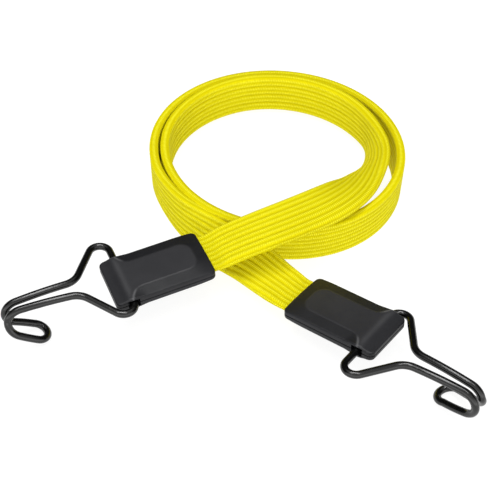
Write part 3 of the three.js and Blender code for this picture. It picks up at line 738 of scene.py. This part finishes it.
def shape_with(piece, builds, operation):
    """Cuts tools from a piece, or joins them to it, one after the other."""
    for k, build in enumerate(builds):
        workpiece = bmesh.new()
        build(workpiece)
        bmesh.ops.recalc_face_normals(workpiece, faces=workpiece.faces)
        mesh = bpy.data.meshes.new(f"tool_{k}")
        workpiece.to_mesh(mesh)
        workpiece.free()
        tool = bpy.data.objects.new(f"tool_{k}", mesh)
        bpy.context.collection.objects.link(tool)
        modifier = piece.modifiers.new("shape", "BOOLEAN")
        modifier.operation, modifier.solver, modifier.object = operation, "EXACT", tool
        evaluated = piece.evaluated_get(bpy.context.evaluated_depsgraph_get())
        mesh = bpy.data.meshes.new_from_object(evaluated)
        piece.modifiers.clear()
        piece.data = mesh
        bpy.data.objects.remove(tool)


# Hollows of a shell: the strap's way in, a tighter stretch where the teeth bite, the crimp's pocket,
# the crossbar's tunnel with a notch for the wire at either side, and the pegs with their holes.
TUNNEL_RADIUS = 1.7
TUNNEL_SIDES = 32
TUNNEL_WALL = 1.0
POCKET_X = -TUNNEL_RADIUS - TUNNEL_WALL
SHOULDER_X = CRIMP_MOUTH_X - PARTING_GAP
TEETH_LENGTH = 8.7
TEETH_X = SHOULDER_X - TEETH_LENGTH
TEETH_BITE = 0.25
PAST_MOUTH = 2
CUT_LAP = 0.1
STRAP_WAY = STRAP_WIDTH / 2 + PARTING_GAP
WAY_HEIGHT = MOUTH_THICKNESS / 2 + PARTING_GAP
TEETH_HEIGHT = WAY_HEIGHT - TEETH_BITE
CRIMP_SHEET = 0.4
CRIMP_GAP = 0.2
POCKET_HEIGHT = CRIMPED_THICKNESS / 2 + CRIMP_GAP + CRIMP_SHEET + PARTING_GAP
BELOW = -2
NOTCH_HALF_LENGTH = 2.2
NOTCH_DEPTH = 2
NOTCH_HEIGHT = 1.8
PEG_X = 4.1
PEG_Y = 6.5
PEG_RADIUS = 1.1
PEG_MIDDLE = -0.4
PEG_HALF_HEIGHT = 0.7
PEG_HOLE_RADIUS = 1.35
PEG_HOLE_DEPTH = 1.35
PEG_SIDES = 24

cover_side = COVER_WIDTH / 2
hollows = [
    block((MOUTH_X - PAST_MOUTH, -STRAP_WAY, BELOW), (TEETH_X, STRAP_WAY, WAY_HEIGHT)),
    block((TEETH_X - CUT_LAP, -STRAP_WAY, BELOW), (SHOULDER_X + CUT_LAP, STRAP_WAY, TEETH_HEIGHT)),
    block((SHOULDER_X, -STRAP_WAY, BELOW), (POCKET_X, STRAP_WAY, POCKET_HEIGHT)),
    round_bar((0, 0, 0), TUNNEL_RADIUS, COVER_WIDTH, TUNNEL_SIDES, upright=False),
    block((-NOTCH_HALF_LENGTH, cover_side - NOTCH_DEPTH, BELOW),
          (NOTCH_HALF_LENGTH, COVER_WIDTH, NOTCH_HEIGHT)),
    block((-NOTCH_HALF_LENGTH, -COVER_WIDTH, BELOW),
          (NOTCH_HALF_LENGTH, NOTCH_DEPTH - cover_side, NOTCH_HEIGHT)),
]
peg_holes = [
    round_bar((PEG_X, y, 0), PEG_HOLE_RADIUS, PEG_HOLE_DEPTH, PEG_SIDES, upright=True)
    for y in (-PEG_Y, PEG_Y)
]
pegs = [
    round_bar((PEG_X, y, PEG_MIDDLE), PEG_RADIUS, PEG_HALF_HEIGHT, PEG_SIDES, upright=True)
    for y in (-PEG_Y, PEG_Y)
]


def moulded_black():
    """Satin plastic with spark grain: painted light on the pad, painted shade on the flanks, painted
    highlights on edges.
    """
    material, on, shader = new_material("moulded_black_plastic", Specular_IOR_Level=0.28)
    place = on.node("ShaderNodeTexCoord").output("Object")
    grain = place.noise(Scale=3800.0, Detail=2.0)
    blotches = place.noise(Scale=90.0, Detail=4.0, Roughness=0.6)
    flow = blotches.rise(0.35, 0.7)
    pad, painted_highlight = (
        on.node("ShaderNodeAttribute", {"attribute_name": name}).output("Fac")
        for name in ("pad", "painted_highlight")
    )
    # Painted light and shade: the flanks get a darker tone as painted shade, the pad a lighter one
    # as painted light, each varied by grain and random flow.
    shaded_flank_tone = (flow * 0.6 + grain * 0.4).mix((0.005, 0.0052, 0.007), (0.012, 0.0123, 0.0145))
    lit_pad_tone = (flow * 0.5 + grain * 0.5).mix((0.021, 0.021, 0.0235), (0.033, 0.033, 0.036))
    # Painted highlight: mixed towards a light grey along the flare's edge and the ridge, patchy by
    # the blotches.
    colour = (painted_highlight * (0.4 + blotches * 0.6)).mix(pad.mix(shaded_flank_tone, lit_pad_tone), (0.13, 0.13, 0.135))
    roughness = 0.42 - pad * 0.06 - flow * 0.04 + grain * 0.07
    give_surface(shader, colour, roughness, grain + blotches * 0.5, 0.12, 0.00012)
    return material


# The pad, and more weakly the slope of the nose, gets a little less roughness and a lighter tone,
# which is painted light; outside it the darker tone is painted shade. A painted highlight lies along
# the edge of the flare and, weaker, along the top of the ridge.
OUTSIDE_ABOVE = 1.6
PAD_FADE = 0.6
RIDGE_FADE = 0.8
NOSE_PAD_SHARE = 0.55
FLARE_HIGHLIGHT_X = (FLARE_X + 2.5, RIDGE_X - 1.5)
FLARE_HIGHLIGHT_WIDTH = 0.4
RIDGE_HIGHLIGHT = 0.3
RIDGE_HIGHLIGHT_WIDTH = 1.1
HIGHLIGHT_FADE = 2
HIGHLIGHT_LAST_X = RIDGE_X + 3


def mark_surface(mesh, points):
    """Says how far each point lies on the pad, and how strong its painted highlight is."""
    into_pad = inside_distance(points[:, :2], pad_outline())
    x = points[:, 0]
    on_outside = points[:, 2] > OUTSIDE_ABOVE
    before_ridge = smooth(x, RIDGE_X + RIDGE_FADE, RIDGE_X - RIDGE_FADE)
    on_pad = smooth(into_pad, -PAD_FADE, PAD_FADE)
    on_pad *= NOSE_PAD_SHARE + (1 - NOSE_PAD_SHARE) * before_ridge
    # Painted highlight: a light line along the flare's edge and a weaker band over the ridge, where
    # the overhead light catches the bends.
    flare = np.exp(-((into_pad / FLARE_HIGHLIGHT_WIDTH) ** 2)) * smooth(x, *FLARE_HIGHLIGHT_X)
    ridge_highlight = RIDGE_HIGHLIGHT * np.exp(-(((x - RIDGE_X) / RIDGE_HIGHLIGHT_WIDTH) ** 2))
    painted_highlight = np.maximum(flare, ridge_highlight * smooth(into_pad, 0, HIGHLIGHT_FADE)) * (x < HIGHLIGHT_LAST_X)
    for name, share in (("pad", on_pad), ("painted_highlight", painted_highlight)):
        mark = mesh.attributes.new(name, "FLOAT", "POINT")
        mark.data.foreach_set("value", share * on_outside)


def merge_and_smooth(mesh, distance, sharp):
    """Merges doubled points, turns all faces outwards and shades smooth between sharp edges."""
    workpiece = bmesh.new()
    workpiece.from_mesh(mesh)
    bmesh.ops.remove_doubles(workpiece, verts=workpiece.verts, dist=distance)
    bmesh.ops.recalc_face_normals(workpiece, faces=workpiece.faces)
    workpiece.to_mesh(mesh)
    workpiece.free()
    mesh.shade_smooth()
    mesh.set_sharp_from_angle(angle=sharp)


def put_on_end(mesh, end, flip, finish):
    """Puts a shell in its place, the right way up, with clean normals and its finish."""
    points = np.zeros(len(mesh.vertices) * 3)
    mesh.vertices.foreach_get("co", points)
    points = points.reshape(-1, 3)
    mark_surface(mesh, points)
    if flip:
        points = points * (1, -1, -1)
    mesh.vertices.foreach_set("co", placed(points, end).ravel())
    merge_and_smooth(mesh, MERGE_WITHIN, SHARP_EDGE)
    mesh.materials.clear()
    mesh.materials.append(finish)


black_plastic = moulded_black()
for side, end in (("left", LEFT_END), ("right", RIGHT_END)):
    for half, flip, extra, operation in (
        ("upper", False, peg_holes, "DIFFERENCE"),
        ("lower", True, pegs, "UNION"),
    ):
        mesh = shell_mesh(f"{side}_cover_{half}")
        shell = bpy.data.objects.new(f"{side}_cover_{half}_moulded", mesh)
        bpy.context.collection.objects.link(shell)
        shape_with(shell, hollows, "DIFFERENCE")
        shape_with(shell, extra, operation)
        put_on_end(shell.data, end, flip, black_plastic)
        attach(shell, "strap_and_covers")
        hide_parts(f"{side}_cover_{half}")

# Crimps
# A strip of bright sheet steel is folded round each cut end of the strap and squeezed flat, so that
# the jacket and the rubber can't pull out of the cover. The solids are right as they are.


def sheet_steel():
    """Rolled steel, bright, with the fine uneven gloss of the rolls."""
    material, on, shader = new_material("sheet_steel", Metallic=1.0)
    rolled = on.node("ShaderNodeTexCoord").output("Object").noise(Scale=1400.0, Detail=3.0)
    colour = rolled.mix((0.48, 0.48, 0.49), (0.66, 0.66, 0.67))
    give_surface(shader, colour, 0.3 + rolled * 0.2, rolled, 0.1, 0.00005)
    return material


steel = sheet_steel()
for side in ("left", "right"):
    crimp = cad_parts[f"{side}_strap_crimp"]
    crimp.data.materials.clear()
    crimp.data.materials.append(steel)

# Hooks
# One steel wire, 2.8 mm over its black coating, is bent to a crossbar, two legs, a curl and a
# closed loop. The crossbar turns freely in the tunnel between the shells.
WIRE_RADIUS = 1.4
WIRE_SIDES = 24
WIRE_END_GAP = 1.2
CROSSBAR_HALF = 14.0
CROSSBAR_POINTS = 12
SHOULDER_RADIUS = 4.0
SHOULDER_POINTS = 16
LEG_ANGLE = math.radians(54.2)
LEG_LENGTH = 12.5
LEG_POINTS = 10
NECK_RADIUS = 7.5
NECK_POINTS = 9
SHANK_ANGLE = math.radians(2.9)
SHANK_LENGTH = 18.2
SHANK_RADIUS = 158.0
SHANK_STEPS = 12
CURL_RADIUS = 5.4
CURL_STEPS = 30
RETURN_STEPS = 8
LOOP_HALF = 4.2
LOOP_POINTS = 12
SPREAD_START_SHARE = 0.45
LEFT_BEND = {"slide": -3.1, "turn": math.radians(157.5), "back": 6.9, "skew": 2.6}
RIGHT_BEND = {"slide": -3.7, "turn": math.radians(164.5), "back": 9.4, "skew": 5.1}
SHARP_WIRE_EDGE = math.radians(50)
WIRE_MERGE_WITHIN = 1e-6
HALVINGS = 40


def hook_side(bend, side):
    """The wire's middle line on one side, from the crossbar's end to the middle of the loop."""
    # Crossbar, shoulder, leg and neck lie in one plane.
    points = [(0, y, 0) for y in np.linspace(WIRE_END_GAP / 2, CROSSBAR_HALF, CROSSBAR_POINTS)]
    for angle in np.linspace(math.pi / 2, -LEG_ANGLE, SHOULDER_POINTS)[1:]:
        x = SHOULDER_RADIUS * (1 - math.sin(angle))
        points.append((x, CROSSBAR_HALF + SHOULDER_RADIUS * math.cos(angle), 0))
    x, y, _ = points[-1]
    for reach in np.linspace(0, LEG_LENGTH, LEG_POINTS)[1:]:
        points.append((x + reach * math.cos(LEG_ANGLE), y - reach * math.sin(LEG_ANGLE), 0))
    x, y, _ = points[-1]
    neck_x = x + NECK_RADIUS * math.sin(LEG_ANGLE)
    neck_y = y + NECK_RADIUS * math.cos(LEG_ANGLE)
    for angle in np.linspace(LEG_ANGLE, SHANK_ANGLE, NECK_POINTS)[1:]:
        x, y = neck_x - NECK_RADIUS * math.sin(angle), neck_y - NECK_RADIUS * math.cos(angle)
        points.append((x, y, 0))

    # The shank bows down a little and draws in towards the other one.
    z, pitch, step = 0.0, 0.0, SHANK_LENGTH / SHANK_STEPS
    for _ in range(SHANK_STEPS):
        pitch += step / SHANK_RADIUS
        x += step * math.cos(pitch)
        z -= step * math.sin(pitch)
        y -= step * math.sin(SHANK_ANGLE)
        points.append((x, y, z))

    # Round the curl and back, the wires part again and lean over to the skewed loop.
    turn, back, skew = bend["turn"] - pitch, bend["back"], bend["skew"]
    curl = CURL_RADIUS * turn
    start = SPREAD_START_SHARE * curl
    narrow = y

    def spread(gone):
        share = min(max((gone - start) / (curl - start + back), 0), 1)
        return narrow + (LOOP_HALF - narrow) * math.sin(share * math.pi / 2) + side * skew * share

    half_turn = turn / CURL_STEPS / 2
    step = 2 * CURL_RADIUS * math.sin(half_turn)
    for k in range(1, CURL_STEPS + 1):
        pitch += half_turn
        x, z = x + step * math.cos(pitch), z - step * math.sin(pitch)
        pitch += half_turn
        points.append((x, spread(curl * k / CURL_STEPS), z))
    step = back / RETURN_STEPS
    for k in range(1, RETURN_STEPS + 1):
        x, z = x + step * math.cos(pitch), z - step * math.sin(pitch)
        points.append((x, spread(curl + step * k), z))
    for angle in np.linspace(0, math.pi / 2, LOOP_POINTS)[1:]:
        reach, over = LOOP_HALF * math.sin(angle), LOOP_HALF * math.cos(angle) + side * skew
        points.append((x + reach * math.cos(pitch), over, z - reach * math.sin(pitch)))
    return np.array(points) * (1, side, 1)


def hook_line(bend):
    """Both sides in one line, slid along the tunnel to where the crossbar lies."""
    there, back = hook_side(bend, 1), hook_side(bend, -1)[::-1]
    return np.vstack([there, back[1:]]) + (0, bend["slide"], 0)


def swung(points, end):
    """The hook turned on its crossbar until its lowest point rests on the floor."""
    low, high = -math.pi / 4, math.pi / 4
    for _ in range(HALVINGS):
        angle = (low + high) / 2
        lowest = placed(points @ turn_about(1, -angle).T, end)[:, 2].min() - WIRE_RADIUS * MM
        low, high = (angle, high) if lowest < 0 else (low, angle)
    return placed(points @ turn_about(1, -high).T, end)


def wire_tree():
    """A round wire along the hook's line, closed at both ends."""
    tree = Tree("bent_wire", Wire_Radius="Float", Sides="Int")
    given = tree.given
    line = tree.node("GeometryNodeMeshToCurve", {0: given["Line"]})
    rod = tree.node("GeometryNodeCurvePrimitiveCircle",
                    {"Resolution": given["Sides"], "Radius": given["Wire Radius"]})
    return tree.finish(tree.node(
        "GeometryNodeCurveToMesh", {"Curve": line, "Profile Curve": rod, "Fill Caps": True}))


def black_coating():
    """Dipped coating: nearly smooth, glossy, with faint runs and rubbed, duller patches."""
    material, on, shader = new_material("black_wire_coating", Specular_IOR_Level=0.5)
    place = on.node("ShaderNodeTexCoord").output("Object")
    runs = place.noise(Scale=420.0, Detail=3.0)
    rubbed = place.noise(Scale=160.0, Detail=4.0, Roughness=0.7).rise(0.5, 0.75)
    colour = rubbed.mix((0.002, 0.002, 0.002), (0.008, 0.0075, 0.007))
    give_surface(shader, colour, 0.15 + rubbed * 0.1 + runs * 0.06, runs, 0.15, 0.0002)
    return material


coating, wire = black_coating(), wire_tree()
for side, end, bend in (("left", LEFT_END, LEFT_BEND), ("right", RIGHT_END, RIGHT_BEND)):
    bent_line = line_mesh(f"{side}_hook_line", swung(hook_line(bend), end))
    hook = grown(f"{side}_hook_coated", bent_line, wire, {
        "Wire Radius": WIRE_RADIUS * MM,
        "Sides": WIRE_SIDES,
        "Material": coating,
    })
    merge_and_smooth(hook.data, WIRE_MERGE_WITHIN, SHARP_WIRE_EDGE)
    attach(hook, f"{side}_hook")
    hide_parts(f"{side}_hook_wire")

# Studio
# A plain white floor that glows enough to hide most shadows, under two long, narrow lamps that
# draw the highlights on the wire. The room is dark towards the horizon behind the cord, so that
# the black plastic shows its shape, and bright in front, where it lights the strap. In metres.
FLOOR_SIZE = 4
STRIP_LENGTH = 0.8
STRIP_WIDTH = 0.15
STRIP_WATTS = 3.6
STRIP_AIM = (0, 0.04, 0)

bpy.ops.mesh.primitive_plane_add(size=FLOOR_SIZE, location=(0, 0, 0))
floor = bpy.context.object
floor.name = "floor"
floor_material, on, shader = new_material(
    "white_floor", Roughness=0.9, Specular_IOR_Level=0.1, Emission_Strength=1.0)
paper = on.node("ShaderNodeTexCoord").output("Object").noise(Scale=40.0, Detail=2.0)
for socket, dim, bright in (("Base Color", 0.21, 0.23), ("Emission Color", 0.87, 0.88)):
    grey = paper.mix((dim, dim, dim), (bright, bright, bright))
    on.tree.links.new(grey.socket, shader.inputs[socket])
floor.data.materials.append(floor_material)

world = bpy.data.worlds.new("studio")
bpy.context.scene.world = world
world.use_nodes = True
sky = Shade(world.node_tree)
direction = sky.node("ShaderNodeTexCoord").output("Generated")
split = sky.node("ShaderNodeSeparateXYZ", i0=direction)
ahead, up = split.output(1), split.output(2)
in_front = (0 - ahead).rise(0.0, 0.6) * (1 - up)
glow = up.rise(0.70, 0.80) * 0.6 + 0.04 + in_front * 2.7
room_light = sky.node("ShaderNodeCombineXYZ", X=glow, Y=glow, Z=glow)
background = world.node_tree.nodes["Background"]
world.node_tree.links.new(room_light.socket, background.inputs["Color"])
background.inputs["Strength"].default_value = 1.0


def strip_lamp(name, place):
    """A long, narrow lamp that hangs over the cord and points at it."""
    light = bpy.data.lights.new(name, "AREA")
    light.shape, light.size, light.size_y = "RECTANGLE", STRIP_LENGTH, STRIP_WIDTH
    light.energy = STRIP_WATTS
    lamp = bpy.data.objects.new(name, light)
    lamp.location = place
    x, y, z = np.array(STRIP_AIM) - place
    lamp.rotation_euler = (math.atan2(np.hypot(x, y), -z), 0, -math.atan2(x, y))
    bpy.context.collection.objects.link(lamp)


strip_lamp("right_lamp", (0.07, 0.08, 1.08))
strip_lamp("left_lamp", (-0.20, 0.19, 1.03))
bpy.context.scene.view_settings.view_transform = "Standard"
